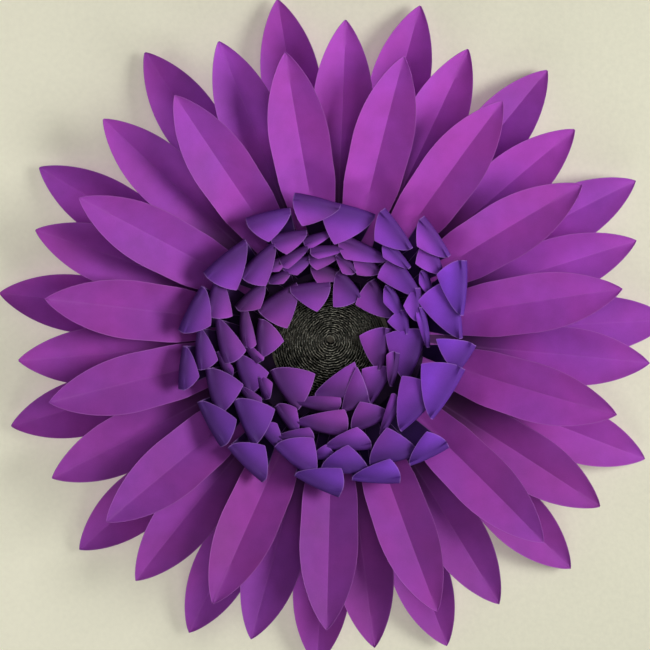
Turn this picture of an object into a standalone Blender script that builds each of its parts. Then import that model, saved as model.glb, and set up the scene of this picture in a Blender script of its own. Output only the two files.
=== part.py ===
"""A giant paper flower that hangs on a wall by the board disc at its back.

Metres, +Z up. The origin is the centre of the disc's back face, the wall is
the plane Y = 0 and the flower faces -Y. Every piece is modelled facing +Z
around an axis through the origin, and one empty stands the flower upright.
Azimuths are degrees clockwise from the top, as someone facing the flower
sees them.
"""
import random
from math import cos, hypot, pi, radians, sin, tan

import bmesh
import bpy

# Card and glue
CARD = 0.0003                   # thickness of the card of every petal
GAP = 0.0003                    # clearance between pieces that touch
SIDE_GAP = 0.0006               # clearance between neighbours in one ring

# Backing disc
DISC_THICKNESS = 0.003
DISC_SIDES = 40

# Rolled centre
ROLL_RADIUS = 0.052
ROLL_HOLE = 0.0035
ROLL_TURNS = 7
ROLL_SLOT = 0.0015              # open space between two turns
ROLL_SEGMENTS = 18              # straight steps in one turn
ROLL_DISH = 0.003               # how much lower the roll's rim is than its hub
ROLL_HEADROOM = 0.0015          # from the roll to the petal tips above it
ROLL_MARGIN = 0.002             # from the roll to the glue bands around it

# Large petals
PETAL_WIDTH = 0.0585            # of the card laid flat, at the widest point
PETAL_TIP_RUN = 0.075           # from the tip to the widest point
PETAL_TIP_CURVE = 0.8           # under 1 draws the edges of the tip rounder
PETAL_TIP_WIDTH = 0.0008        # the cut point's blunt end
PETAL_WAIST = 0.17              # share of the width lost towards the base
PETAL_BASE_MARGIN = 0.001       # from the roll to the glued ends of the petals
PETAL_ROWS = 7                  # spans along the free length
ROW_CROWDING = 1.5              # over 1 sets the spans closer towards the tip
FOLD_ANGLE = 27                 # degrees, each half out of the flat
FOLD_RUN = 0.055                # length over which the fold opens up
BACK_REACH = 0.305              # flower axis to petal tip
MIDDLE_REACH = 0.279
FRONT_REACH = 0.252
BACK_RISE = 0.03                # forward slope of the back ring's creases
RING_CLEARANCE = 0.0052         # crease to the raised edges of the ring behind
LIFT_MARGIN = 0.002             # from the outer collar's foot to the front ring's lift
LIFT_STAGGER = 0.008            # each ring behind is lifted this much further out

BACK_AZIMUTHS = [
    350.5, 14.5, 38.5, 62.5, 87, 111.5, 134.5, 160, 183, 206, 230, 254.5, 277.5, 300, 326.5]
MIDDLE_AZIMUTHS = [
    2, 24.5, 48.5, 71.5, 94, 122, 148, 172.5, 195.5, 219.5, 244, 266.5, 290.5, 314, 339]
FRONT_AZIMUTHS = [
    350.5, 13.5, 34.5, 57, 79, 104, 133.5, 159, 181.5, 205, 232, 258.5, 279, 300, 327.5]

# Small curled petals, in collars from the centre out. The roll and its
# collars were glued on a little low and to the left.
CENTRE_RIGHT = -0.003
CENTRE_UP = -0.006
SMALL_WIDTH = 0.040             # at the bend, where a small petal turns over
SMALL_TIP_WIDTH = 0.002
SMALL_TIP_CURVE = 1.3           # over 1 draws the two edges rounder
BAND_WIDTH = 0.006              # of the inner collar's flat glue band
FOOT_STEP = 0.006               # from one collar's foot to the next
INNER_LEAN = 0.004              # how far the inner collar's bend overhangs its foot
BEND_STEP = 0.016               # from one collar's bend to the next
BEND_FOLLOW = 0.2               # how far a bend follows its tip in or out
BEND_RADIUS = 0.006
BEND_TURNS = (-40, 20, 80)      # degrees round the bend, 0 outwards and 90 forwards
BEND_SLANT = 0.0035             # each bend is turned a little, like a pinwheel
FLAP_SPANS = 2                  # straight spans from the bend to the tip
FLAP_SLOPE = 0.10               # fall of the turned-over flap towards its tip
FLAP_BELLY = 0.001              # bulge of a flap between bend and tip
FLAP_BOW = 0.0015               # how much lower a flap's edges are than its middle
LAYER_CLEARANCE = 0.0008        # between the flaps of two collars
COLLAR_CLEARANCE = 0.016        # from the front petals' edges to the outer bend
LEAN_MARGIN = 2                 # degrees kept from a leaning tip to its neighbour
FLAP_JITTER = 0.0003            # hand-made unevenness of the flaps

# Each small petal: azimuth of its bend, lean of its tip in degrees, radius
# of its tip. One list for each collar, from the centre out.
COLLARS = [
    [(19, -9, .032), (48, -14, .041), (93, -15, .029), (128, -4, .037), (147, -18, .030),
     (167, -20, .026), (186, -19, .044), (219, -18, .027), (274, 2, .038), (307, -14, .037),
     (336, -2, .030), (358, -5, .049)],
    [(12, -3, .066), (26, -4, .066), (58, -5, .063), (75, -6, .056), (95, -9, .051),
     (113, -5, .055), (152, -2, .057), (182, -14, .059), (209, -4, .061), (233, -2, .057),
     (249, -4, .057), (265, -3, .057), (285, -9, .063), (324, -1, .065), (340, -3, .066),
     (356, -5, .065)],
    [(15, -3, .077), (44, -8, .073), (56, -3, .087), (68, -4, .075), (84, -8, .080),
     (135, -6, .071), (166, -5, .075), (183, 0, .087), (200, -7, .074), (216, -1, .083),
     (236, -3, .074), (257, -4, .082), (275, -7, .073), (302, -3, .067), (326, -1, .081),
     (337, -4, .079), (347, -3, .087), (358, -5, .079)],
    [(9, -4, .088), (35, -4, .090), (53, -5, .098), (74, -7, .086), (125, -8, .071),
     (150, -6, .090), (173, -4, .090), (196, -6, .081), (226, -4, .067), (248, -5, .082),
     (268, -5, .093), (292, -5, .087), (319, -4, .075), (339, -3, .086)],
    [(31, -7, .101), (47, -5, .111), (67, -9, .112), (94, -6, .095), (113, -10, .084),
     (136, -5, .112), (159, -6, .111), (184, -10, .107), (213, -2, .103), (235, -5, .103),
     (261, -5, .111), (284, -4, .099), (308, -7, .093), (335, -6, .105), (356, -9, .106)],
]

# Sizes that follow from the ones above
SHEET_STEP = CARD + GAP
RING_COUNT = 3
FRONT_RING = RING_COUNT - 1
FIRST_LEVEL = DISC_THICKNESS + GAP + CARD / 2
CENTRE_OFFSET = hypot(CENTRE_RIGHT, CENTRE_UP)
BAND_RADIUS = ROLL_RADIUS + ROLL_MARGIN
INNER_FOOT = BAND_RADIUS + BAND_WIDTH
INNER_BEND = INNER_FOOT + INNER_LEAN
PETAL_BASE_RADIUS = ROLL_RADIUS + CENTRE_OFFSET + PETAL_BASE_MARGIN
OUTER_FOOT = INNER_FOOT + FOOT_STEP * (len(COLLARS) - 1)
OUTER_BEND = INNER_BEND + BEND_STEP * (len(COLLARS) - 1)
DISC_RADIUS = OUTER_FOOT + CENTRE_OFFSET
LIFT_START = OUTER_FOOT + CENTRE_OFFSET + LIFT_MARGIN
LAYER_STEP = (BEND_STEP * FLAP_SLOPE + FLAP_BOW + FLAP_BELLY + 2 * FLAP_JITTER
              + BEND_SLANT * FLAP_SLOPE + CARD + LAYER_CLEARANCE)

# Colours, linear RGB
PETAL_COLOUR = (0.33, 0.065, 0.39, 1)
SMALL_COLOUR = (0.20, 0.06, 0.42, 1)
ROLL_COLOUR = (0.006, 0.006, 0.005, 1)
DISC_COLOUR = (0.55, 0.50, 0.42, 1)
CARD_ROUGHNESS = 0.75
PAPER_ROUGHNESS = 0.85
BOARD_ROUGHNESS = 0.8


def clear_scene():
    for thing in list(bpy.data.objects):
        bpy.data.objects.remove(thing, do_unlink=True)


def make_material(name, colour, roughness):
    material = bpy.data.materials.new(name)
    material.use_nodes = True
    shader = material.node_tree.nodes["Principled BSDF"]
    shader.inputs["Base Color"].default_value = colour
    shader.inputs["Roughness"].default_value = roughness
    shader.inputs["Metallic"].default_value = 0.0
    return material


def smooth_step(value):
    value = min(max(value, 0.0), 1.0)
    return value * value * (3 - 2 * value)


def smallest_spacing(azimuths):
    """Angle in degrees between the two closest neighbours of a ring."""
    ordered = sorted(azimuth % 360 for azimuth in azimuths)
    following = ordered[1:] + [ordered[0] + 360]
    return min(after - before for before, after in zip(ordered, following))


def sheet(name, columns, rows, place, keep=None):
    """A grid of card. place(column, row) gives the position of each corner.

    keep(column, row) tells which cells stay, where the card is cut out.
    """
    mesh = bpy.data.meshes.new(name)
    grid = bmesh.new()
    bmesh.ops.create_grid(grid, x_segments=columns, y_segments=rows, size=0.5)
    if keep is not None:
        waste = []
        for face in grid.faces:
            middle = face.calc_center_median()
            column = int((middle.x + 0.5) * columns)
            row = int((middle.y + 0.5) * rows)
            if not keep(column, row):
                waste.append(face)
        bmesh.ops.delete(grid, geom=waste, context="FACES")
    for corner in grid.verts:
        column = round((corner.co.x + 0.5) * columns)
        row = round((corner.co.y + 0.5) * rows)
        corner.co = place(column, row)
    bmesh.ops.remove_doubles(grid, verts=grid.verts, dist=1e-6)
    grid.to_mesh(mesh)
    grid.free()
    return mesh


def add_piece(name, mesh, material, stand, collection, thickness=None):
    piece = bpy.data.objects.new(name, mesh)
    collection.objects.link(piece)
    piece.parent = stand
    if not mesh.materials:
        mesh.materials.append(material)
    if thickness is not None:
        solid = piece.modifiers.new("thickness", "SOLIDIFY")
        solid.thickness = thickness
        solid.offset = 0.0
    return piece


# Large petals

def lift_start(ring):
    """Radius where a ring's petals leave the flat stack of glued ends."""
    return LIFT_START + LIFT_STAGGER * (RING_COUNT - 1 - ring)


def fold_at(ring, radius):
    """How far a petal's fold has opened at this distance from the flower's axis."""
    return radians(FOLD_ANGLE) * smooth_step((radius - lift_start(ring)) / FOLD_RUN)


def ring_rise(ring):
    """Forward slope of a ring's creases, so that each ring clears the one behind."""
    raised_edge = PETAL_WIDTH / 2 * sin(radians(FOLD_ANGLE))
    free_run = FRONT_REACH - PETAL_TIP_RUN - LIFT_START
    step = (raised_edge + RING_CLEARANCE) / free_run
    return BACK_RISE + step * ring


def crease_height(ring, radius):
    level = FIRST_LEVEL + SHEET_STEP * ring
    return level + max(radius - lift_start(ring), 0.0) * ring_rise(ring)


def petal_half_width(ring, radius, reach, spacing):
    """Half the width of the flat card, narrowed where it lies beside its neighbours."""
    from_tip = reach - radius
    half = PETAL_WIDTH / 2
    if from_tip < PETAL_TIP_RUN:
        half *= sin(pi / 2 * (from_tip / PETAL_TIP_RUN) ** PETAL_TIP_CURVE)
    else:
        rest = FRONT_REACH - PETAL_TIP_RUN - PETAL_BASE_RADIUS
        half *= 1 - PETAL_WAIST * (from_tip - PETAL_TIP_RUN) / rest
    room = radius * tan(radians(spacing / 2)) - SIDE_GAP
    half = min(half, room / cos(fold_at(ring, radius)))
    return max(half, PETAL_TIP_WIDTH / 2)


def large_petal_mesh(name, ring, reach, azimuths):
    """One leaf of card with a valley fold, its tip towards +Y."""
    spacing = smallest_spacing(azimuths)

    def place(column, row):
        if row == 0:
            radius = PETAL_BASE_RADIUS
        else:
            share = (row - 1) / PETAL_ROWS
            free = reach - lift_start(ring)
            radius = lift_start(ring) + free * (1 - (1 - share) ** ROW_CROWDING)
        side = column - 1
        half = petal_half_width(ring, radius, reach, spacing)
        fold = fold_at(ring, radius)
        height = crease_height(ring, radius) + abs(side) * half * sin(fold)
        return (side * half * cos(fold), radius, height)

    return sheet(name, 2, PETAL_ROWS + 1, place)


def make_large_petals(names, reaches, rings_azimuths, material, stand, collection):
    for ring, (name, reach, azimuths) in enumerate(zip(names, reaches, rings_azimuths)):
        mesh = large_petal_mesh(name, ring, reach, azimuths)
        for number, azimuth in enumerate(azimuths, start=1):
            piece = add_piece(f"{name}_{number:02d}", mesh, material, stand, collection, CARD)
            piece.rotation_euler.z = -radians(azimuth)


# Small curled petals

def front_edge_height(radius):
    """Highest point of the front petals at this radius."""
    spacing = smallest_spacing(FRONT_AZIMUTHS)
    half = petal_half_width(FRONT_RING, radius, FRONT_REACH, spacing)
    return crease_height(FRONT_RING, radius) + half * sin(fold_at(FRONT_RING, radius))


def bend_top(collar):
    """Height of a collar's bend. The outer collar is the highest."""
    outer = front_edge_height(OUTER_BEND + CENTRE_OFFSET) + COLLAR_CLEARANCE + BEND_RADIUS
    return outer - LAYER_STEP * (len(COLLARS) - 1 - collar)


def band_level(collar):
    """Height of a collar's flat glue band. The outer collar is glued first."""
    return FIRST_LEVEL + SHEET_STEP * (RING_COUNT + len(COLLARS) - 1 - collar)


def collar_profile(collar, tip):
    """Radius, height and share of the way from bend to tip, from band to tip."""
    foot = INNER_FOOT + FOOT_STEP * collar
    reaches = [petal[2] for petal in COLLARS[collar]]
    bend = INNER_BEND + BEND_STEP * collar
    bend += BEND_FOLLOW * (tip - sum(reaches) / len(reaches))
    level = band_level(collar)
    centre_radius = bend - BEND_RADIUS
    centre_height = bend_top(collar) - BEND_RADIUS
    points = [(BAND_RADIUS, level, 0), (foot, level, 0)]
    for turn in BEND_TURNS:
        angle = radians(turn)
        points.append((centre_radius + BEND_RADIUS * cos(angle),
                       centre_height + BEND_RADIUS * sin(angle), 0))
    start, top, _ = points[-1]
    for span in range(1, FLAP_SPANS + 1):
        share = span / FLAP_SPANS
        radius = start + (tip - start) * share
        fall = (start - radius) * FLAP_SLOPE
        points.append((radius, top - fall + FLAP_BELLY * sin(pi * share), share))
    return points


def collar_mesh(name, collar):
    """A ring of curled petals on one flat glue band."""
    petals = sorted(COLLARS[collar])
    count = len(petals)
    chance = random.Random(collar + 1)
    shift_up = [chance.uniform(-FLAP_JITTER, FLAP_JITTER) for _ in petals]
    rows = len(collar_profile(collar, 0)) - 1

    def room(number, step):
        """Angle to the line half way to the neighbour on one side."""
        apart = (petals[(number + step) % count][0] - petals[number][0]) * step % 360
        return radians(apart / 2)

    def place(column, row):
        number = (column // 3) % count
        side = column % 3 - 1
        azimuth, lean, tip = petals[number]
        lean = max(radians(lean), radians(LEAN_MARGIN) - room(number, -1))
        radius, height, share = collar_profile(collar, tip)[row]
        half = SMALL_WIDTH / 2 * (1 - share ** SMALL_TIP_CURVE)
        half = max(half, SMALL_TIP_WIDTH / 2)
        spread = half / radius
        if side:
            spread = min(spread, room(number, side) - side * lean * share - SIDE_GAP / radius)
        if row > 1:
            fullness = half / (SMALL_WIDTH / 2)
            radius -= side * BEND_SLANT * fullness
            height += shift_up[number] - FLAP_BOW * abs(side) * fullness ** 2
        if side == 0 and share == 1:
            radius -= SMALL_TIP_WIDTH / 2
        angle = radians(azimuth) + lean * share + side * spread
        return (radius * sin(angle), radius * cos(angle), height)

    def keep(column, row):
        return row == 0 or column % 3 != 2

    return sheet(name, 3 * count, rows, place, keep)


def make_small_petals(material, stand, collection):
    for collar in range(len(COLLARS)):
        name = f"small_petals_{collar + 1}"
        mesh = collar_mesh(name, collar)
        piece = add_piece(name, mesh, material, stand, collection, CARD)
        piece.location = (CENTRE_RIGHT, CENTRE_UP, 0)


# Centre and back

def roll_top():
    """Height of the roll's hub, just under the inner collar's tips."""
    tip = min(petal[2] for petal in COLLARS[0])
    start = INNER_BEND - BEND_RADIUS
    lowest = bend_top(0) - (start - tip) * FLAP_SLOPE - FLAP_BOW - FLAP_JITTER
    return lowest - CARD - ROLL_HEADROOM


def make_roll(material, stand, collection):
    """One strip of paper on edge, rolled up from the hub to the rim."""
    pitch = (ROLL_RADIUS - ROLL_HOLE) / ROLL_TURNS
    strip = pitch - ROLL_SLOT
    steps = ROLL_TURNS * ROLL_SEGMENTS
    inside = ROLL_HOLE + strip / 2
    outside = ROLL_RADIUS - strip / 2
    bottom = DISC_THICKNESS + GAP

    def place(column, row):
        share = column / steps
        angle = 2 * pi * share * (ROLL_TURNS - 1)
        radius = inside + (outside - inside) * share
        top = roll_top() - ROLL_DISH * share
        return (radius * sin(angle), radius * cos(angle), top if row else bottom)

    mesh = sheet("rolled_centre", steps, 1, place)
    piece = add_piece("rolled_centre", mesh, material, stand, collection, strip)
    piece.location = (CENTRE_RIGHT, CENTRE_UP, 0)


def make_disc(material, stand, collection):
    mesh = bpy.data.meshes.new("backing_disc")
    shape = bmesh.new()
    bmesh.ops.create_cone(shape, cap_ends=True, segments=DISC_SIDES, radius1=DISC_RADIUS,
                          radius2=DISC_RADIUS, depth=DISC_THICKNESS)
    bmesh.ops.translate(shape, verts=shape.verts, vec=(0, 0, DISC_THICKNESS / 2))
    shape.to_mesh(mesh)
    shape.free()
    add_piece("backing_disc", mesh, material, stand, collection)


def build():
    clear_scene()
    collection = bpy.data.collections.new("giant_paper_flower")
    bpy.context.scene.collection.children.link(collection)
    stand = bpy.data.objects.new("flower_stand", None)
    stand.rotation_euler.x = pi / 2
    collection.objects.link(stand)

    petal_card = make_material("large_petal_card", PETAL_COLOUR, CARD_ROUGHNESS)
    small_card = make_material("small_petal_card", SMALL_COLOUR, CARD_ROUGHNESS)
    black_paper = make_material("black_paper", ROLL_COLOUR, PAPER_ROUGHNESS)
    board = make_material("backing_board", DISC_COLOUR, BOARD_ROUGHNESS)

    make_disc(board, stand, collection)
    make_large_petals(("petal_back", "petal_middle", "petal_front"),
                      (BACK_REACH, MIDDLE_REACH, FRONT_REACH),
                      (BACK_AZIMUTHS, MIDDLE_AZIMUTHS, FRONT_AZIMUTHS),
                      petal_card, stand, collection)
    make_small_petals(small_card, stand, collection)
    make_roll(black_paper, stand, collection)


build()
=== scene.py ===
# %% [markdown]
# # A giant paper flower
# The flower hangs on a wall by a board disc. It has three rings of folded purple petals, five
# collars of small curled petals and a tightly rolled black centre. This lesson dresses a plain
# CAD model of it: every sheet of card is cut again with finer curves, and each kind of paper
# gets a material of its own. The CAD model is loaded first and is never changed.

# %% Load the plain model
import random
from math import atan2, cos, degrees, hypot, pi, radians, sin, sqrt, tan

import bmesh
import bpy
from mathutils import Matrix, Vector


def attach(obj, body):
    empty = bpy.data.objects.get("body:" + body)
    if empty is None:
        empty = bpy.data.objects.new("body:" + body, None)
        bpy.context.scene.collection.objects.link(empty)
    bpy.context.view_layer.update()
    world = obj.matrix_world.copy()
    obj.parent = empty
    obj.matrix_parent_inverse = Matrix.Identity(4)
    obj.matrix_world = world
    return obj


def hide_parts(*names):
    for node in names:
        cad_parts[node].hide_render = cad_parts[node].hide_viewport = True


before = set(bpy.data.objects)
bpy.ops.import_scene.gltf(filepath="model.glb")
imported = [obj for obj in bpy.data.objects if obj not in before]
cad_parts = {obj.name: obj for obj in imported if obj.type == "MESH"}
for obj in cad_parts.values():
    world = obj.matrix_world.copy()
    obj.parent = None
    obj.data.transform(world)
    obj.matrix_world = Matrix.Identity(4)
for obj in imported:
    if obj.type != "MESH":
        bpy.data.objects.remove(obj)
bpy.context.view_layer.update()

print("CAD nodes:", len(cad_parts))

# %% [markdown]
# ## Camera
# The flower was seen from a few degrees above its middle, from about the distance of someone
# across a small room. A long lens keeps the rings round. The lens could be set by trial, but it
# follows from how many millimetres of the flower one picture element has to show.

# %% Camera
VIEW_DISTANCE = 1.4
VIEW_ABOVE = radians(5.5)
VIEW_RIGHT = -0.005
SENSOR_WIDTH = 36
PICTURE_WIDTH = 650
METRES_PER_PIXEL = 0.000911
# how far the picture is moved behind the lens, in picture elements
SHIFT_RIGHT = -3.5
SHIFT_UP = 11

camera_data = bpy.data.cameras.new("studio_camera")
camera_data.sensor_width = SENSOR_WIDTH
camera_data.lens = SENSOR_WIDTH * VIEW_DISTANCE / (PICTURE_WIDTH * METRES_PER_PIXEL)
camera_data.shift_x = SHIFT_RIGHT / PICTURE_WIDTH
camera_data.shift_y = SHIFT_UP / PICTURE_WIDTH
camera = bpy.data.objects.new("studio_camera", camera_data)
camera.location = (VIEW_RIGHT, -VIEW_DISTANCE * cos(VIEW_ABOVE), VIEW_DISTANCE * sin(VIEW_ABOVE))
camera.rotation_euler = (pi / 2 - VIEW_ABOVE, 0, 0)
bpy.context.scene.collection.objects.link(camera)
bpy.context.scene.camera = camera
bpy.context.scene.view_settings.view_transform = "Standard"
print("lens in millimetres:", round(camera_data.lens, 2))

# %% [markdown]
# ## Shared shader groups
# All the card has the same faint fibre, and every cut edge shows a thin pale line where the
# knife opened the sheet. Each effect could be drawn again in every material, but a node group
# is built once and placed where it is needed, with its own values.

# %% Helpers for node groups
# most values of a noise texture lie in this range
NOISE_RANGE = (0.3, 0.7)


def new_group(name, inputs, outputs):
    """An empty shader group with its sockets, and its entry and exit nodes."""
    group = bpy.data.node_groups.new(name, "ShaderNodeTree")
    for label, kind, value in inputs:
        socket = group.interface.new_socket(label, in_out="INPUT", socket_type=kind)
        if value is not None:
            socket.default_value = value
    for label, kind in outputs:
        group.interface.new_socket(label, in_out="OUTPUT", socket_type=kind)
    return group, group.nodes.new("NodeGroupInput"), group.nodes.new("NodeGroupOutput")


def connect(tree, source, target):
    """Feed a socket from another socket or from a plain value."""
    if isinstance(source, bpy.types.NodeSocket):
        tree.links.new(source, target)
    else:
        target.default_value = source


def noise(tree, coordinates, scale, detail=3.0, roughness=0.5):
    node = tree.nodes.new("ShaderNodeTexNoise")
    connect(tree, coordinates, node.inputs["Vector"])
    connect(tree, scale, node.inputs["Scale"])
    node.inputs["Detail"].default_value = detail
    node.inputs["Roughness"].default_value = roughness
    return node.outputs["Fac"]


def calculate(tree, operation, first, second=0.0, clamp=False):
    node = tree.nodes.new("ShaderNodeMath")
    node.operation = operation
    node.use_clamp = clamp
    connect(tree, first, node.inputs[0])
    connect(tree, second, node.inputs[1])
    return node.outputs[0]


def spread(tree, value, low, high, new_low=0.0, new_high=1.0):
    """Stretch the range low to high over new_low to new_high."""
    node = tree.nodes.new("ShaderNodeMapRange")
    for socket, number in zip(node.inputs[:5], (value, low, high, new_low, new_high)):
        connect(tree, number, socket)
    return node.outputs[0]


def mix_colours(tree, share, first, second):
    """Mix two colours. The node has sockets for numbers and vectors too, before these."""
    node = tree.nodes.new("ShaderNodeMix")
    node.data_type = "RGBA"
    sockets = (node.inputs[0], node.inputs[6], node.inputs[7])
    for socket, value in zip(sockets, (share, first, second)):
        connect(tree, value, socket)
    return node.outputs[2]


def attribute(tree, name):
    node = tree.nodes.new("ShaderNodeAttribute")
    node.attribute_name = name
    return node.outputs["Fac"]


print("helpers for node groups are ready")

# %% Card fibre group
CLOUD_SCALE = 22.0

CARD_FIBRE, entry, leave = new_group(
    "card_fibre",
    [("Coordinates", "NodeSocketVector", None), ("Fibre Scale", "NodeSocketFloat", 1400.0)],
    [("Cloud", "NodeSocketFloat"), ("Fibre", "NodeSocketFloat")])
cloud = noise(CARD_FIBRE, entry.outputs[0], CLOUD_SCALE, detail=4.0)
fibre = noise(CARD_FIBRE, entry.outputs[0], entry.outputs[1], detail=2.0, roughness=0.6)
connect(CARD_FIBRE, cloud, leave.inputs[0])
connect(CARD_FIBRE, fibre, leave.inputs[1])
print("card_fibre sockets:", len(CARD_FIBRE.interface.items_tree))

# %% Cut edge group
CUT_EDGE, entry, leave = new_group(
    "cut_edge",
    [("Rim Distance", "NodeSocketFloat", 1.0), ("Line Width", "NodeSocketFloat", 0.0006)],
    [("Line", "NodeSocketFloat")])
half_width = calculate(CUT_EDGE, "MULTIPLY", entry.outputs[1], 0.5)
line = spread(CUT_EDGE, entry.outputs[0], half_width, entry.outputs[1], 1.0, 0.0)
connect(CUT_EDGE, line, leave.inputs[0])
print("cut_edge sockets:", len(CUT_EDGE.interface.items_tree))

# %% [markdown]
# ## Card materials
# The large petals are a warm purple and the small ones a bluer violet. A single colour would
# look like plastic, so each petal has its own tone and hue, the sheet has soft clouds, blue
# stains and fibre, the fold is rubbed a little lighter, and the small petals turn from blue
# violet at the bend to pink violet at the tip and are painted darker at the bend, as painted
# shade under the next collar. Painted shade also darkens the card between the petals.

# %% Material helpers
def new_material(name, roughness, specular):
    """A material with object coordinates, and its tree and shader."""
    material = bpy.data.materials.new(name)
    material.use_nodes = True
    tree = material.node_tree
    shader = tree.nodes["Principled BSDF"]
    shader.inputs["Roughness"].default_value = roughness
    shader.inputs["Specular IOR Level"].default_value = specular
    coordinates = tree.nodes.new("ShaderNodeTexCoord").outputs["Object"]
    return material, tree, shader, coordinates


def place_group(tree, group, *values):
    node = tree.nodes.new("ShaderNodeGroup")
    node.node_tree = group
    for socket, value in zip(node.inputs, values):
        connect(tree, value, socket)
    return node.outputs


def add_bump(tree, shader, height, strength, distance):
    bump = tree.nodes.new("ShaderNodeBump")
    bump.inputs["Strength"].default_value = strength
    bump.inputs["Distance"].default_value = distance
    connect(tree, height, bump.inputs["Height"])
    connect(tree, bump.outputs["Normal"], shader.inputs["Normal"])


def scale_colour(tree, colour, factor):
    """Make a colour lighter or darker by a factor."""
    node = tree.nodes.new("ShaderNodeVectorMath")
    node.operation = "SCALE"
    connect(tree, colour, node.inputs[0])
    connect(tree, factor, node.inputs["Scale"])
    return node.outputs[0]


print("material helpers are ready")

# %% Card materials
CARD_FIBRE_SCALE = 1500.0
BLOTCH_SCALE = 75.0
STAIN_SCALE = 14.0
STAIN_RANGE = (0.35, 0.65)
# what the stains add to the blueness, and the clouds, blotches and fibre to the tone
STAIN_BLUENESS = (-0.18, 0.18)
CLOUD_TONE = (0.92, 1.08)
BLOTCH_TONE = (-0.06, 0.06)
FIBRE_TONE = (-0.05, 0.05)
CLOUD_ROUGHNESS = (0.64, 0.78)
# the fold is rubbed pale by this share, up to this distance from it
CREASE_RUB = 0.10
CREASE_RUN = (0.0004, 0.0012)
RIM_LINE = 0.0009


def card_material(name, start_colour, end_colour, blue_colour, rim_colour, rim_share):
    """Matte coloured card: the colour turns along the petal and pales at its cut edge."""
    material, tree, shader, coordinates = new_material(name, roughness=0.7, specular=0.3)
    cloud, fibre = place_group(tree, CARD_FIBRE, coordinates, CARD_FIBRE_SCALE)
    blotch = noise(tree, coordinates, BLOTCH_SCALE)
    colour = mix_colours(tree, attribute(tree, "along"), start_colour, end_colour)
    stain = noise(tree, coordinates, STAIN_SCALE, detail=2.0)
    blueness = calculate(tree, "ADD", attribute(tree, "blueness"),
                         spread(tree, stain, *STAIN_RANGE, *STAIN_BLUENESS), clamp=True)
    colour = mix_colours(tree, blueness, colour, blue_colour)
    unevenness = calculate(tree, "ADD", spread(tree, cloud, *NOISE_RANGE, *CLOUD_TONE),
                           spread(tree, blotch, *NOISE_RANGE, *BLOTCH_TONE))
    unevenness = calculate(tree, "ADD", unevenness,
                           spread(tree, fibre, *NOISE_RANGE, *FIBRE_TONE))
    # the card's own tone, which carries some painted light, times the painted shade between the
    # petals and the unevenness
    tone = calculate(tree, "MULTIPLY", attribute(tree, "tone"), attribute(tree, "painted_light_and_shade"))
    tone = calculate(tree, "MULTIPLY", tone, unevenness)
    colour = scale_colour(tree, colour, tone)
    rubbed = spread(tree, attribute(tree, "crease"), *CREASE_RUN, CREASE_RUB, 0.0)
    colour = mix_colours(tree, rubbed, colour, rim_colour)
    rim = place_group(tree, CUT_EDGE, attribute(tree, "rim"), RIM_LINE)[0]
    colour = mix_colours(tree, calculate(tree, "MULTIPLY", rim, rim_share), colour, rim_colour)
    connect(tree, colour, shader.inputs["Base Color"])
    connect(tree, spread(tree, cloud, *NOISE_RANGE, *CLOUD_ROUGHNESS), shader.inputs["Roughness"])
    add_bump(tree, shader, fibre, strength=0.25, distance=0.0002)
    return material


LARGE_CARD = card_material(
    "large_petal_card", start_colour=(0.375, 0.048, 0.41, 1), end_colour=(0.41, 0.056, 0.435, 1),
    blue_colour=(0.29, 0.064, 0.51, 1), rim_colour=(0.50, 0.17, 0.58, 1), rim_share=0.35)
# the small card is painted darker at the bend than at the tip, as painted shade under the next
# collar, and is bluer there
SMALL_CARD = card_material(
    "small_petal_card", start_colour=(0.17, 0.030, 0.27, 1), end_colour=(0.33, 0.050, 0.40, 1),
    blue_colour=(0.20, 0.045, 0.60, 1), rim_colour=(0.42, 0.20, 0.62, 1), rim_share=0.42)
print("card materials:", LARGE_CARD.name, SMALL_CARD.name)

# %% [markdown]
# ## Sheets of card
# Every petal is one flat sheet that was cut, folded and bent. It could be drawn point by point,
# but a grid operator gives an even sheet, each of whose corners is then carried to its place
# on the petal. A solidify operator gives the card its thickness. The sheet remembers marks, as
# attributes, such as how far each corner is from the cut edge and from the fold.

# %% Sheet helpers
CARD = 0.0003
SHARP_ANGLE = radians(35)
# the share of the way along the petal, how light the card is (with some painted light), the painted
# shade and light between and across the petals, how blue it is, and the distances from the cut edge
# and the fold
MARKS = ("along", "tone", "painted_light_and_shade", "blueness", "rim", "crease")
# points closer than this are the same
SAME = 1e-6
# the mark of a corner that has no cut edge or no fold near it
FAR = 1.0


def stand_up(right, up, forward):
    """From the flower's own plane and height to the upright flower, which faces -Y."""
    return Vector((right, -forward, up))


def lay_sheet(shape, columns, rows, place):
    """Add one sheet. place(column, row) gives a position and the sheet's marks there."""
    made = bmesh.ops.create_grid(shape, x_segments=columns, y_segments=rows, size=0.5)
    for corner in made["verts"]:
        column = round((corner.co.x + 0.5) * columns)
        row = round((corner.co.y + 0.5) * rows)
        corner.co, marks = place(column, row)
        for name, value in marks.items():
            layer = shape.verts.layers.float.get(name)
            corner[layer] = value


def new_shape():
    shape = bmesh.new()
    for name in MARKS:
        shape.verts.layers.float.new(name)
    return shape


def clear_backs(shape):
    """Take the painted shade off the side of the card that faces the wall."""
    shape.normal_update()
    painted_light_and_shade = shape.verts.layers.float["painted_light_and_shade"]
    for corner in shape.verts:
        if corner.normal.y > 0:
            corner[painted_light_and_shade] = 1.0


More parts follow.
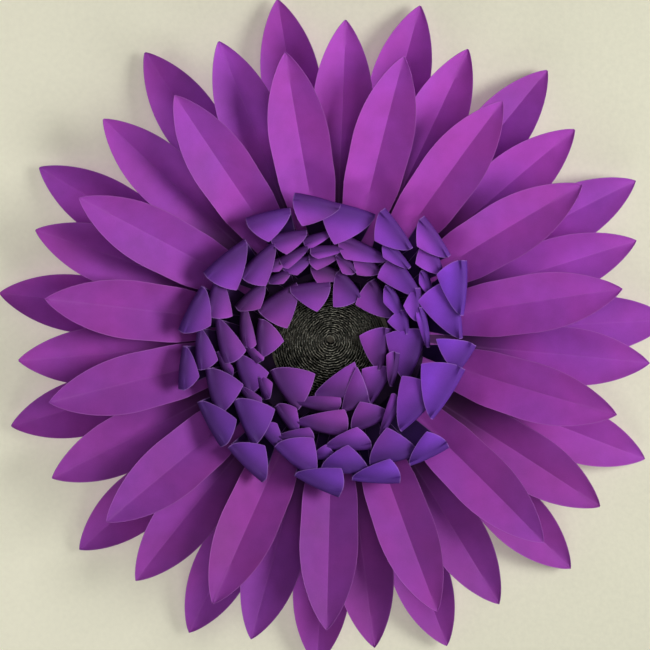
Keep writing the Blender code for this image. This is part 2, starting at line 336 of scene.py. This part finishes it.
def finish_piece(shape, name, material, nodes, thickness=None, plain_back=False):
    """Thicken the sheets, make the object, hang it on the root body and hide the CAD nodes it
    stands for.
    """
    bmesh.ops.recalc_face_normals(shape, faces=shape.faces)
    if thickness:
        bmesh.ops.solidify(shape, geom=shape.faces[:], thickness=thickness)
    if plain_back:
        clear_backs(shape)
    mesh = bpy.data.meshes.new(name)
    shape.to_mesh(mesh)
    shape.free()
    mesh.shade_smooth()
    mesh.set_sharp_from_angle(angle=SHARP_ANGLE)
    mesh.materials.append(material)
    piece = bpy.data.objects.new(name, mesh)
    bpy.context.scene.collection.objects.link(piece)
    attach(piece, "root")
    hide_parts(*nodes)
    return piece


def smooth_step(value):
    value = min(max(value, 0.0), 1.0)
    return value * value * (3 - 2 * value)


print("sheet helpers are ready")

# %% [markdown]
# ## Large petals
# A large petal is a long leaf of card with one sharp fold down its middle. Its two halves rise
# beside the fold like a shallow boat, which is what makes one half bright and the other dark.
# The sizes are those of the CAD model, a little smaller where the finer sheet would pass its
# box, and each petal's direction and length are read from its CAD node, so the fine petal lies
# where the plain one was.

# %% Sizes of the large petals
PETAL_WIDTH = 0.0585
TIP_RUN = 0.075
TIP_CURVE = 0.8
TIP_WIDTH = 0.0008
WAIST = 0.17
FOLD = radians(27)
FOLD_RUN = 0.055
RINGS = ("petal_back", "petal_middle", "petal_front")
PETALS_IN_RING = 15
FRONT_REACH = 0.252
# the collars and the roll sit a little to the left of the rings' middle and below it
CENTRE_LEFT = 0.003
CENTRE_DOWN = 0.006
CENTRE_OFFSET = hypot(CENTRE_LEFT, CENTRE_DOWN)
ROLL_RADIUS = 0.052
DISC_RADIUS = 0.084 + CENTRE_OFFSET
DISC_THICKNESS = 0.003
# a petal is glued from just outside the roll to just outside the disc, and rises from there
PETAL_BASE = ROLL_RADIUS + CENTRE_OFFSET + 0.001
LIFT = DISC_RADIUS + 0.002
# each ring slopes more than the one behind it, enough to clear that ring's folded edges
BACK_RISE = 0.03
RING_ROOM = 0.0048
RISE_STEP = (PETAL_WIDTH / 2 * sin(FOLD) + RING_ROOM) / (FRONT_REACH - TIP_RUN - LIFT)
GLUE_GAP = 0.0003
FIRST_LEVEL = DISC_THICKNESS + GLUE_GAP + CARD / 2
LEVEL_STEP = 0.0006


def petal_tip(node):
    """Azimuth in degrees, clockwise from the top, and reach just inside a CAD petal's tip."""
    far = max(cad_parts[node].data.vertices, key=lambda point: hypot(point.co.x, point.co.z))
    return degrees(atan2(far.co.x, far.co.z)) % 360, hypot(far.co.x, far.co.z) - CARD


tips = {}
for ring in RINGS:
    for number in range(1, PETALS_IN_RING + 1):
        node = f"{ring}_{number:02d}"
        tips[node] = petal_tip(node)
print("tips read:", len(tips), "- first:", tips["petal_back_01"])

# %% Cut and fold the large petals
PETAL_SEED = 7
ACROSS = 6
ALONG = 34
# rows crowd together toward the tip, where the outline curves most
ROW_CROWDING = 1.5
# the fold of each ring starts this much further out than that of the ring in front
START_STEP = 0.008
NEIGHBOUR_GAP = 0.0006
TIP_RIM = 0.0004
SWAY = 0.0012
CUP = (0.0004, 0.0012)
# painted shade: the front of a sheet is painted dark at its glued end and clears over a run, from
# these radii out, for the deep shadow between the petals
PAINTED_SHADE_LEVEL = 0.22
PAINTED_SHADE_FROM = (0.150, 0.120, 0.045)
PAINTED_SHADE_RUN = 0.065
# no two sheets of card are alike, and each ring is palest toward one side, which stands in for
# the uneven light that the flower was seen in
LARGE_TONE = 1.02
TONE_CHANCE = 0.06
TONE_SWING = (0.16, 0.24, 0.22)
PALE_SIDE = (radians(-40), radians(0), radians(35))
LARGE_BLUENESS = (0.15, 0.40)


def closest_neighbours(ring):
    """Angle between the two closest petals of a ring."""
    ordered = sorted(tips[node][0] for node in tips if node.startswith(ring))
    return min(after - before for before, after in zip(ordered, ordered[1:] + [ordered[0] + 360]))


def large_petal(node, ring, spacing, chance):
    azimuth, reach = tips[node]
    start = LIFT + START_STEP * (len(RINGS) - 1 - ring)
    rise = BACK_RISE + RISE_STEP * ring
    level = FIRST_LEVEL + LEVEL_STEP * ring
    turn = Matrix.Rotation(-radians(azimuth), 3, "Z")
    tone = LARGE_TONE + TONE_SWING[ring] * cos(radians(azimuth) - PALE_SIDE[ring])
    tone += chance.uniform(-TONE_CHANCE, TONE_CHANCE)
    blueness = chance.uniform(*LARGE_BLUENESS)
    sway = chance.uniform(-SWAY, SWAY)
    cup = chance.uniform(*CUP)

    def place(column, row):
        share = row / ALONG
        radius = PETAL_BASE + (reach - PETAL_BASE) * (1 - (1 - share) ** ROW_CROWDING)
        fold = FOLD * smooth_step((radius - start) / FOLD_RUN)
        half = PETAL_WIDTH / 2
        from_tip = reach - radius
        if from_tip < TIP_RUN:
            half *= sin(pi / 2 * (from_tip / TIP_RUN) ** TIP_CURVE)
        else:
            half *= 1 - WAIST * (from_tip - TIP_RUN) / (FRONT_REACH - TIP_RUN - PETAL_BASE)
        room = radius * tan(radians(spacing / 2)) - NEIGHBOUR_GAP
        half = max(min(half, room / cos(fold)), TIP_WIDTH / 2)
        side = (column - ACROSS) / ACROSS
        width = side * half
        free = max(radius - start, 0) / (reach - start)
        height = level + max(radius - start, 0) * rise + abs(width) * sin(fold)
        height -= cup * free * sin(pi * abs(side))
        across = width * cos(fold) + sway * free * sin(pi * free)
        flat = turn @ Vector((across, radius, height))
        # painted shade toward the glued end
        painted_light_and_shade = PAINTED_SHADE_LEVEL + (1 - PAINTED_SHADE_LEVEL) * smooth_step((radius - PAINTED_SHADE_FROM[ring]) / PAINTED_SHADE_RUN)
        marks = {"along": share, "tone": tone, "painted_light_and_shade": painted_light_and_shade, "blueness": blueness,
                 "crease": abs(width), "rim": min((1 - abs(side)) * half, from_tip + TIP_RIM)}
        return stand_up(*flat), marks

    shape = new_shape()
    lay_sheet(shape, 2 * ACROSS, ALONG, place)
    finish_piece(shape, node + "_card", LARGE_CARD, [node], CARD,
                 plain_back=True)


chance = random.Random(PETAL_SEED)
for ring, name in enumerate(RINGS):
    spacing = closest_neighbours(name)
    for node in sorted(tips):
        if node.startswith(name):
            large_petal(node, ring, spacing, chance)
    print(name, "closest neighbours in degrees:", round(spacing, 1))

# %% [markdown]
# ## Small curled petals
# Each small petal stands on a glue band, rises, rolls over in a tight bend and points back to
# the centre. They are hand placed, so no two are alike: each is given by three corners, the
# left and right ends of its bend and its tip, as azimuth in degrees and radius in millimetres
# about the collars' own centre. One rule then bends a sheet through the three corners.

# %% Corners of the small petals
CENTRE = Vector((-CENTRE_LEFT, -CENTRE_DOWN))
# left azimuth and radius, tip azimuth and radius, right azimuth and radius, and for petals that
# cross a neighbour of their own collar the millimetres by which they are higher or lower
COLLARS = {
    1: [(7, 63, 4, 35, 29, 49), (33, 67, 31, 43, 61, 58), (74, 51, 71, 27, 112, 45),
        (113, 55, 127, 35, 143, 59), (153, 47, 125, 26, 191, 41, -1.2), (174, 59, 171, 44, 207, 57),
        (209, 61, 209, 29, 244, 53), (263, 63, 276, 42, 289, 64), (297, 69, 292, 42, 327, 59),
        (327, 59, 338, 33, 357, 53), (348, 73, 349, 56, 7, 64), (144, 57, 129, 30, 166, 54, 2.2)],
    2: [(16, 85, 20, 68, 32, 79), (44, 75, 50, 61, 66, 70), (64, 72, 66, 55, 79, 68),
        (81, 81, 78, 50, 111, 70), (96, 61, 99, 50, 120, 63), (141, 78, 152, 56, 164, 76),
        (171, 79, 168, 58, 200, 72), (203, 83, 209, 63, 221, 72), (232, 74, 238, 61, 246, 70),
        (241, 83, 247, 60, 263, 82), (257, 67, 261, 60, 270, 75), (270, 78, 272, 66, 293, 84),
        (318, 81, 323, 70, 331, 77), (330, 83, 335, 70, 346, 81), (347, 82, 350, 69, 4, 82),
        (6, 82, 9, 66, 18, 71)],
    3: [(6, 97, 9, 79, 30, 91), (35, 95, 34, 74, 57, 89), (57, 92, 60, 74, 72, 81),
        (67, 89, 70, 80, 87, 86), (127, 78, 128, 68, 147, 87), (159, 95, 162, 75, 180, 88),
        (191, 87, 195, 74, 208, 91), (230, 86, 234, 76, 244, 87), (254, 95, 258, 88, 266, 100),
        (262, 93, 268, 75, 282, 100), (294, 89, 299, 71, 312, 82), (321, 92, 326, 81, 332, 89),
        (349, 89, 352, 79, 6, 88), (346, 98, 349, 89, 359, 101), (208, 100, 215, 83, 222, 95),
        (179, 99, 183, 87, 188, 99), (51, 107, 54, 96, 62, 101), (330, 89, 332, 79, 345, 90)],
    4: [(357, 128, 2, 91, 18, 122), (28, 107, 30, 92, 44, 100), (42, 128, 45, 105, 56, 119),
        (61, 122, 62, 87, 85, 115), (112, 104, 112, 68, 139, 96), (141, 122, 145, 87, 161, 110),
        (164, 116, 170, 88, 184, 109), (188, 117, 191, 82, 209, 101), (219, 110, 222, 74, 241, 97),
        (240, 116, 247, 84, 260, 111), (261, 120, 264, 100, 278, 118),
        (285, 115, 288, 91, 302, 117), (309, 103, 314, 79, 331, 105),
        (332, 111, 335, 91, 348, 105)],
    5: [(347, 140, 347, 110, 4, 126), (21, 132, 22, 102, 39, 114), (35, 142, 40, 117, 52, 133),
        (57, 142, 55, 113, 76, 120), (89, 128, 85, 93, 101, 114), (99, 120, 100, 81, 125, 110),
        (130, 137, 131, 112, 146, 126), (153, 135, 152, 111, 171, 119),
        (177, 133, 175, 107, 196, 118), (207, 134, 214, 104, 226, 127),
        (228, 131, 233, 104, 248, 127), (255, 139, 258, 118, 271, 130),
        (277, 135, 281, 107, 296, 126), (301, 130, 302, 97, 322, 122),
        (327, 136, 330, 108, 344, 128)],
}
print("small petals:", sum(len(petals) for petals in COLLARS.values()))

# %% Form of the small petals
# heights of the bends, from the inner collar to the outer one
BEND_TOPS = (0.0319, 0.0381, 0.0442, 0.0504, 0.0565)
TOP_DROP = 0.0006
TOP_CHANCE = 0.0005
# the bend is tighter at its right end, which also lies lower
BEND_RADIUS = 0.0045
BEND_TAPER = 0.0012
LEAN = 0.0008
SWELL = 0.06
UNDER = radians(-40)
# how much longer a petal is than what shows of it, because its bend is under the next collar
TUCKED = (1.22, 1.20, 1.20, 1.05, 1.0)
# a foot stands on the glue band, narrower than the bend, and its wall leans out early
BAND_INNER = 0.054
BAND_OUTER = 0.061
FOOT_RADIUS = 0.060
FOOT_STEP = 0.006
FOOT_WIDTH = 0.6
WALL_CURVE = 0.8
# the flap droops with the square of its length, bows across, and is fuller on its right
DROOP = (3.2, 4.2, 5.0, 5.0, 5.0)
BOW = 0.0030
FULLNESS_LEFT = 1.25
FULLNESS_RIGHT = 1.55
FLAP_CURVE = 0.86
LEAST_WIDTH = 0.02
SMALL_TIP_RIM = 0.0002
print("bends in millimetres of height:", [round(1000 * top, 1) for top in BEND_TOPS])

# %% Tone of the small petals
SMALL_TONE = 0.90
SMALL_TONE_CHANCE = 0.14
SMALL_BLUENESS = 0.10
SMALL_BLUENESS_CHANCE = 0.22
# what each collar outward adds to both, all round and toward one side: painted light makes the
# collars palest at their upper right and bluest at their lower right, for the uneven light they
# were seen in
COLLAR_TONE = 0.02
COLLAR_TONE_SWING = 0.08
COLLAR_BLUENESS = 0.09
COLLAR_BLUENESS_SWING = 0.05
PALE_EDGE = radians(45)
BLUE_EDGE = radians(130)
# painted shade and light: how light the card is painted at a foot, deep in shade between the
# collars, and what is gained up the wall, round the bend and along the flap
FOOT_LIGHT = 0.10
WALL_GAIN = 0.30
WALL_GAIN_CURVE = 1.5
BEND_GAIN = 0.15
FLAP_GAIN = 0.56
FLAP_CLEAR = 0.65
# painted light across a flap: how much lighter the right half of a flap is painted than its middle
SIDE_LIGHT = (-0.28, 0.10)
# the glue band is painted dark, as painted shade under the collars
BAND_PAINTED_SHADE = 0.2
print("tone of the outer collar:", round(SMALL_TONE + COLLAR_TONE * (len(COLLARS) - 1), 2))

# %% Bend the small petals
COLLAR_SEED = 11
ACROSS_SMALL = 10
WALL_ROWS = 4
BEND_ROWS = 6
FLAP_ROWS = 12
BAND_COLUMNS = 96


def polar(azimuth, radius):
    angle = radians(azimuth)
    return Vector((sin(angle), cos(angle))) * radius / 1000


def band_level(collar):
    """Height of a glue band. The outer one lies on the rings, and each inner one on the last."""
    return FIRST_LEVEL + LEVEL_STEP * (len(RINGS) + len(COLLARS) - 1 - collar)


def curl_petal(shape, collar, corners, chance):
    left, tip, right = polar(*corners[:2]), polar(*corners[2:4]), polar(*corners[4:6])
    left, right = tip + (left - tip) * TUCKED[collar], tip + (right - tip) * TUCKED[collar]
    middle, half = (left + right) / 2, (right - left) / 2
    outward = Vector((-half.y, half.x)).normalized()
    swell = outward * half.length * SWELL
    top = BEND_TOPS[collar] - TOP_DROP + chance.uniform(-TOP_CHANCE, TOP_CHANCE)
    top += sum(corners[6:]) / 1000
    band = band_level(collar)
    foot = FOOT_RADIUS + FOOT_STEP * collar
    length = (tip - middle).length
    azimuth = atan2(middle.x, middle.y)
    tone = SMALL_TONE + COLLAR_TONE * collar
    tone += COLLAR_TONE_SWING * collar * cos(azimuth - PALE_EDGE)
    tone += chance.uniform(-SMALL_TONE_CHANCE, SMALL_TONE_CHANCE)
    blueness = SMALL_BLUENESS + COLLAR_BLUENESS * collar
    blueness += COLLAR_BLUENESS_SWING * collar * cos(azimuth - BLUE_EDGE)
    blueness += chance.uniform(0, SMALL_BLUENESS_CHANCE)
    side_light = chance.uniform(*SIDE_LIGHT)

    def place(column, row):
        side = 2 * column / ACROSS_SMALL - 1
        bend = BEND_RADIUS - BEND_TAPER * side
        edge = middle + half * side + swell * (1 - side * side)
        lean = -LEAN * side
        rim = (1 - abs(side)) * half.length
        along = 0.0
        # painted shade is darkest at the foot and clears up the wall, round the bend and along the
        # flap
        if row <= WALL_ROWS:
            up = row / WALL_ROWS
            start = edge + outward * bend * (cos(UNDER) - 1)
            base = (middle + half * side * FOOT_WIDTH).normalized() * foot
            plan = base.lerp(start, up ** WALL_CURVE)
            height = band + CARD * 2 + (top - bend + bend * sin(UNDER) - band) * up + lean * up
            painted_light_and_shade = FOOT_LIGHT + WALL_GAIN * up ** WALL_GAIN_CURVE
        elif row <= WALL_ROWS + BEND_ROWS:
            turn = UNDER + (pi / 2 - UNDER) * (row - WALL_ROWS) / BEND_ROWS
            plan = edge + outward * bend * (cos(turn) - 1)
            height = top - bend + bend * sin(turn) + lean
            painted_light_and_shade = FOOT_LIGHT + WALL_GAIN + BEND_GAIN * (row - WALL_ROWS) / BEND_ROWS
        else:
            share = (row - WALL_ROWS - BEND_ROWS) / FLAP_ROWS
            fullness = FULLNESS_LEFT if side < 0 else FULLNESS_RIGHT
            width = max((1 - share ** fullness) ** FLAP_CURVE, LEAST_WIDTH)
            plan = middle + half * side * width + (tip - middle) * share
            plan += (1 - share) * (swell * (1 - side * side) - outward * bend)
            run = share * length
            height = top - DROOP[collar] * run * run
            height += (lean - BOW * side * side) * width * (1 - share) ** 0.5
            rim = min(rim * width, (1 - share) * length + SMALL_TIP_RIM)
            painted_light_and_shade = FOOT_LIGHT + WALL_GAIN + BEND_GAIN
            painted_light_and_shade += FLAP_GAIN * smooth_step(share / FLAP_CLEAR)
            painted_light_and_shade *= 1 + side_light * side
            along = share
        plan = plan + CENTRE
        marks = {"along": along, "tone": tone, "painted_light_and_shade": painted_light_and_shade, "blueness": blueness,
                 "crease": FAR, "rim": rim}
        return stand_up(plan.x, plan.y, height), marks

    lay_sheet(shape, ACROSS_SMALL, WALL_ROWS + BEND_ROWS + FLAP_ROWS, place)


def glue_band(shape, collar):
    """The flat ring of card that the feet of one collar are glued to."""
    level = band_level(collar)

    def place(column, row):
        radius = BAND_INNER if row == 0 else BAND_OUTER + FOOT_STEP * collar
        angle = 2 * pi * column / BAND_COLUMNS
        right = radius * sin(angle) + CENTRE.x
        up = radius * cos(angle) + CENTRE.y
        marks = {"along": 0.0, "tone": BAND_PAINTED_SHADE, "painted_light_and_shade": 1.0, "crease": FAR, "rim": FAR}
        return stand_up(right, up, level), marks

    lay_sheet(shape, BAND_COLUMNS, 1, place)
    bmesh.ops.remove_doubles(shape, verts=shape.verts, dist=SAME)


chance = random.Random(COLLAR_SEED)
for number, petals in COLLARS.items():
    shape = new_shape()
    glue_band(shape, number - 1)
    for corners in petals:
        curl_petal(shape, number - 1, corners, chance)
    node = f"small_petals_{number}"
    piece = finish_piece(shape, node + "_card", SMALL_CARD, [node], CARD)
    print(node, "faces:", len(piece.data.polygons))

# %% [markdown]
# ## Rolled centre
# The middle is a long strip of black paper, rolled up tightly, whose upper edge is ragged like
# a fringe. It could be a disc with painted rings, but the ragged edge catches light from every
# side, so the strip is really wound: a grid, thousands of columns long, is carried onto a
# spiral, and each tooth of its upper edge gets its own small height.

# %% Black paper
BLACK_DEEP = (0.006, 0.006, 0.005, 1)
BLACK_WORN = (0.120, 0.116, 0.095, 1)
# the paper is worn above this share of the strip's height, and the fibre breaks the wear up
WORN_FROM = 0.7
WORN_FIBRE = (0.35, 0.6)
LEAST_WEAR = 0.35

BLACK_PAPER, tree, shader, coordinates = new_material("black_paper", roughness=0.85,
                                                      specular=0.25)
_, fibre = place_group(tree, CARD_FIBRE, coordinates, 900.0)
frayed = calculate(tree, "MULTIPLY", spread(tree, attribute(tree, "along"), WORN_FROM, 1.0),
                   spread(tree, fibre, *WORN_FIBRE, LEAST_WEAR, 1.0))
colour = mix_colours(tree, frayed, BLACK_DEEP, BLACK_WORN)
colour = scale_colour(tree, colour, attribute(tree, "tone"))
connect(tree, colour, shader.inputs["Base Color"])
add_bump(tree, shader, fibre, strength=0.4, distance=0.0003)
print("black paper is ready")

# %% Wind the roll
ROLL_SEED = 5
ROLL_HOLE = 0.0035
ROLL_PITCH = 0.0021
ROLL_PAPER = 0.0007
ROLL_MARGIN = 0.0006
# the roll is highest at its hub, which stands off its middle
ROLL_FOOT = 0.0034
ROLL_TOP = 0.0249
ROLL_SLOPE = 0.003
HUB_SHIFT = Vector((0.0003, 0.0042))
# the strip's columns, and the teeth, depth and wear of its fringe
ROLL_STEP = 0.0009
TOOTH_COLUMNS = 2
TOP_ROW = 2
FRINGE = 0.004
RAGGED = 0.0026
WANDER = 0.0005
WEAR = (0.4, 0.8, 1.2, 1.8, 2.2)
# the black paper is painted lighter at the hub and darker toward the outside of the roll, as
# painted shade under the inner collar
HUB_TONE = 1.35
ROLL_PAINTED_SHADE = 0.8


def wind_roll():
    length = pi * (ROLL_RADIUS ** 2 - ROLL_HOLE ** 2) / ROLL_PITCH
    columns = int(length / ROLL_STEP)
    chance = random.Random(ROLL_SEED)
    teeth = columns // TOOTH_COLUMNS + 1
    ragged = [chance.uniform(0, RAGGED) for _ in range(teeth)]
    wander = [chance.uniform(-WANDER, WANDER) for _ in range(teeth)]
    wear = [chance.choice(WEAR) for _ in range(teeth)]

    def place(column, row):
        rolled = length * column / columns
        radius = sqrt(ROLL_HOLE ** 2 + ROLL_PITCH * rolled / pi)
        angle = 2 * pi * (radius - ROLL_HOLE) / ROLL_PITCH
        share = (radius - ROLL_HOLE) / (ROLL_RADIUS - ROLL_HOLE)
        top = ROLL_TOP - ROLL_SLOPE * share
        tooth = column // TOOTH_COLUMNS
        height = (ROLL_FOOT, top - FRINGE, top - ragged[tooth])[row]
        if row == TOP_ROW:
            radius += wander[tooth]
        radius = min(radius, ROLL_RADIUS - ROLL_MARGIN)
        plan = Vector((sin(angle), cos(angle))) * radius + CENTRE + HUB_SHIFT * (1 - share)
        marks = {"along": 1.0 if row == TOP_ROW else 0.0,
                 "tone": (HUB_TONE - ROLL_PAINTED_SHADE * share) * wear[tooth]}
        return stand_up(plan.x, plan.y, height), marks

    shape = new_shape()
    lay_sheet(shape, columns, TOP_ROW, place)
    piece = finish_piece(shape, "rolled_centre_strip", BLACK_PAPER, ["rolled_centre"],
                         ROLL_PAPER)
    print("strip in metres:", round(length, 2), "faces:", len(piece.data.polygons))


wind_roll()

# %% [markdown]
# ## Backing disc
# A round of board carries everything and touches the wall. It is only seen from behind and
# between the petals. A cone operator with equal radii gives the round, and a small bevel
# softens its cut edge.

# %% Board
BOARD_DARK = (0.46, 0.40, 0.31, 1)
BOARD_PALE = (0.60, 0.54, 0.44, 1)
BOARD_TONE = (0.9, 1.08)

BOARD, tree, shader, coordinates = new_material("backing_board", roughness=0.85, specular=0.2)
cloud, fibre = place_group(tree, CARD_FIBRE, coordinates, 700.0)
colour = mix_colours(tree, cloud, BOARD_DARK, BOARD_PALE)
colour = scale_colour(tree, colour, spread(tree, fibre, *NOISE_RANGE, *BOARD_TONE))
connect(tree, colour, shader.inputs["Base Color"])
add_bump(tree, shader, fibre, strength=0.3, distance=0.0003)
print("board is ready")

# %% Backing disc
DISC_SEGMENTS = 128
DISC_BEVEL = 0.0005

shape = bmesh.new()
bmesh.ops.create_cone(shape, cap_ends=True, segments=DISC_SEGMENTS, radius1=DISC_RADIUS,
                      radius2=DISC_RADIUS, depth=DISC_THICKNESS)
rim_edges = [edge for edge in shape.edges
             if abs(edge.verts[0].co.z - edge.verts[1].co.z) < SAME]
bmesh.ops.bevel(shape, geom=rim_edges, offset=DISC_BEVEL, offset_type="OFFSET", affect="EDGES",
                segments=2, profile=0.5, material=-1)
for corner in shape.verts:
    corner.co = stand_up(corner.co.x, corner.co.y, corner.co.z + DISC_THICKNESS / 2)
finish_piece(shape, "backing_disc_board", BOARD, ["backing_disc"])
print("disc radius in metres:", round(DISC_RADIUS, 4))

# %% [markdown]
# ## Wall and light
# The flower hangs on a plain cream wall. The wall is only a stage, so from behind it is made
# clear, and the flower's back gets light through it. It gives off a little light of its own to
# the camera, more on the left, to look as pale as a lit wall without more light on the petals.
# Soft lamps in front give the petals one bright and one dark half.

# %% Wall
WALL_PAINT = (0.68, 0.665, 0.52)
GLOW_LEFT = (0.31, 0.30, 0.24, 1)
GLOW_RIGHT = (0.07, 0.07, 0.055, 1)
GLOW_RUN = (-0.3, 0.3)
PLASTER_SCALE = 220.0
PLASTER_TONE = (0.97, 1.03)
WALL_REACH = 2.5
WALL_BEHIND = 0.0005

wall_material, tree, shader, coordinates = new_material("wall_paint", roughness=0.9,
                                                        specular=0.2)
split = tree.nodes.new("ShaderNodeSeparateXYZ")
connect(tree, coordinates, split.inputs[0])
to_right = spread(tree, split.outputs[0], *GLOW_RUN)
plaster = noise(tree, coordinates, PLASTER_SCALE, detail=4.0)
paint = scale_colour(tree, WALL_PAINT, spread(tree, plaster, *NOISE_RANGE, *PLASTER_TONE))
connect(tree, paint, shader.inputs["Base Color"])
glow = mix_colours(tree, to_right, GLOW_LEFT, GLOW_RIGHT)
connect(tree, glow, shader.inputs["Emission Color"])
shader.inputs["Emission Strength"].default_value = 1.0
add_bump(tree, shader, plaster, strength=0.15, distance=0.001)
front_only = tree.nodes.new("ShaderNodeNewGeometry").outputs["Backfacing"]
seen = tree.nodes.new("ShaderNodeLightPath").outputs["Is Camera Ray"]
shown = calculate(tree, "MULTIPLY", seen, calculate(tree, "SUBTRACT", 1.0, front_only))
clear = tree.nodes.new("ShaderNodeBsdfTransparent")
choose = tree.nodes.new("ShaderNodeMixShader")
connect(tree, shown, choose.inputs[0])
connect(tree, clear.outputs[0], choose.inputs[1])
connect(tree, shader.outputs[0], choose.inputs[2])
connect(tree, choose.outputs[0], tree.nodes["Material Output"].inputs["Surface"])

shape = bmesh.new()
bmesh.ops.create_grid(shape, x_segments=1, y_segments=1, size=WALL_REACH)
bmesh.ops.rotate(shape, verts=shape.verts, matrix=Matrix.Rotation(pi / 2, 3, "X"))
bmesh.ops.translate(shape, verts=shape.verts, vec=(0, WALL_BEHIND, 0))
wall_mesh = bpy.data.meshes.new("wall")
shape.to_mesh(wall_mesh)
shape.free()
wall_mesh.materials.append(wall_material)
wall = bpy.data.objects.new("wall", wall_mesh)
bpy.context.scene.collection.objects.link(wall)
print("wall faces:", [round(value, 2) for value in wall_mesh.polygons[0].normal])

# %% Lamps and world
# name, position and size in metres, and power in watts
LAMPS = (
    ("front_lamp", (0.1, -2.2, 0.2), 1.0, 6.5),
    ("right_lamp", (1.05, -0.90, 0.16), 0.6, 13.5),
    ("low_lamp", (0.15, -1.1, -1.9), 0.6, 8),
    ("left_lamp", (-1.9, -1.1, 0.0), 0.6, 3.5),
    ("back_lamp", (0.3, 1.8, 0.4), 1.5, 26),
)
WORLD_COLOUR = (1.0, 0.98, 0.95, 1)
WORLD_STRENGTH = 0.10


def add_lamp(name, position, size, power):
    """A soft square lamp of white light that looks at the flower."""
    data = bpy.data.lights.new(name, "AREA")
    data.size = size
    data.energy = power
    lamp = bpy.data.objects.new(name, data)
    lamp.location = position
    lamp.rotation_euler = (-Vector(position)).to_track_quat("-Z", "Y").to_euler()
    bpy.context.scene.collection.objects.link(lamp)


for name, position, size, power in LAMPS:
    add_lamp(name, position, size, power)
world = bpy.data.worlds.new("studio")
world.use_nodes = True
world.node_tree.nodes["Background"].inputs["Color"].default_value = WORLD_COLOUR
world.node_tree.nodes["Background"].inputs["Strength"].default_value = WORLD_STRENGTH
bpy.context.scene.world = world
print("lamps:", [item.name for item in bpy.data.lights])
